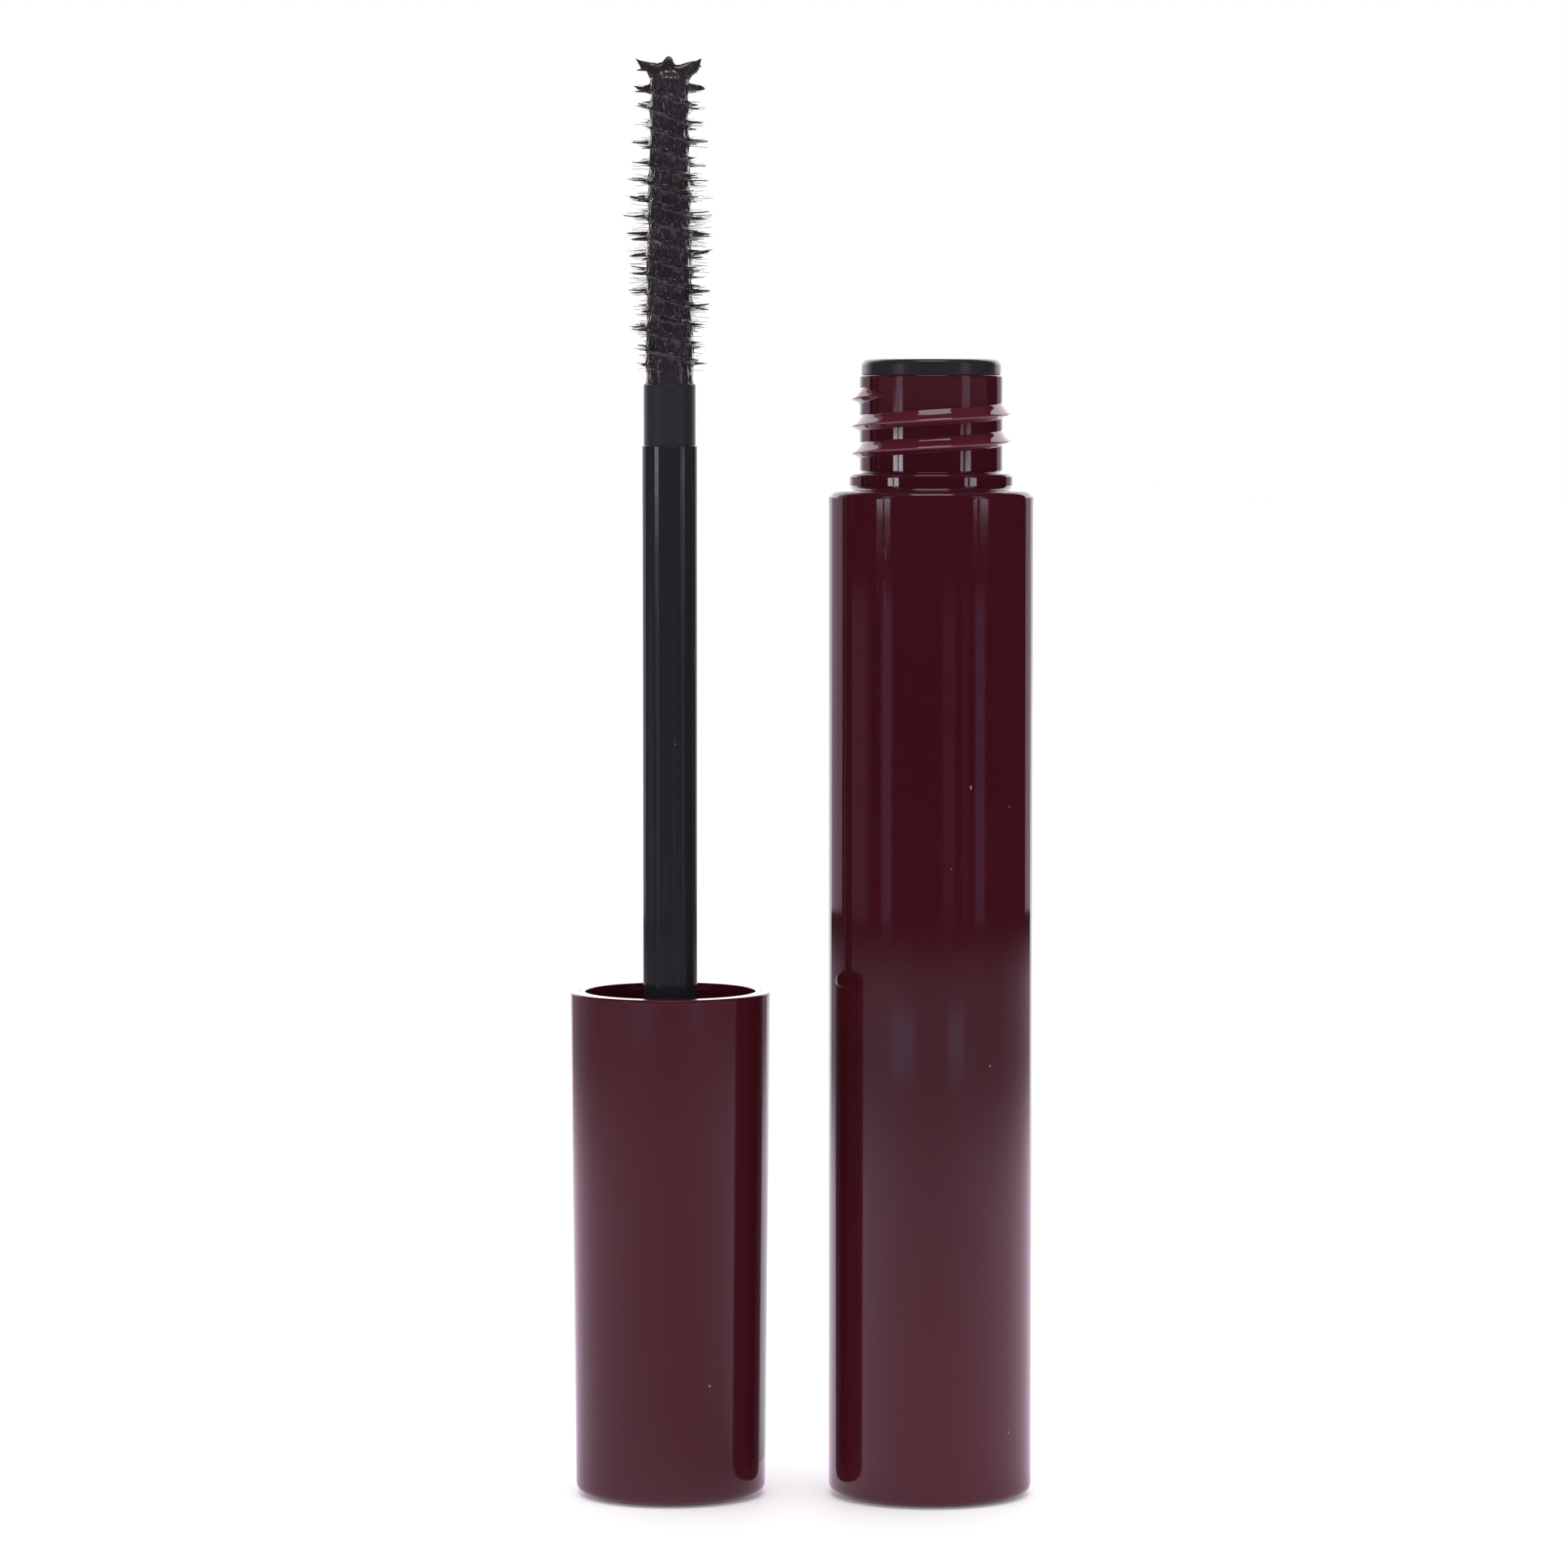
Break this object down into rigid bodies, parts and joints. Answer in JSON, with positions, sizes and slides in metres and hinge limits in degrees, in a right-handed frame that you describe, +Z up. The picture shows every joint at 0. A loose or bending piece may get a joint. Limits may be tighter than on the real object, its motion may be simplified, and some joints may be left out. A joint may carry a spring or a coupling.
{
  "type": "mascara tube",
  "caption": "Open mascara tube with a screw neck and wiper, and its cap, rod and twisted-wire brush standing cap-down beside it.",
  "frame": {"origin": "centre of the tube's flat base", "axes": "+Z up along the tube's axis; the wand stands at -X, cap down; -Y faces the viewer"},
  "size_m": [0.0376, 0.0166, 0.117],
  "materials": {
    "burgundy_gloss": "high gloss",
    "burgundy_inner": "gloss",
    "wiper_plastic": "satin",
    "rod_plastic": "gloss, matte at the tip",
    "washer_foam": "matte",
    "wire_steel": "plain",
    "bristle_nylon": "coated with mascara",
    "mascara": "wet"
  },
  "bodies": {
    "tube": {"bottle": "burgundy_gloss", "wiper": "wiper_plastic", "mascara_fill": "mascara"},
    "seal": {"seal_washer": "washer_foam"},
    "wand": {"outer_cap": "burgundy_gloss", "inner_cap": "burgundy_inner", "wand_rod": "rod_plastic", "brush_wire": "wire_steel", "brush_bristles": "bristle_nylon", "brush_load": "mascara"}
  },
  "joints": [
    {"name": "wand_lift", "type": "slide", "parent": "tube", "child": "seal", "axis": [0, 0, 1], "range_m": [0, 0.08]},
    {"name": "cap_turn", "type": "hinge", "parent": "seal", "child": "wand", "pos_m": [-0.0212, 0, 0], "axis": [0, 0, -1], "range_deg": [0, 640]}
  ]
}
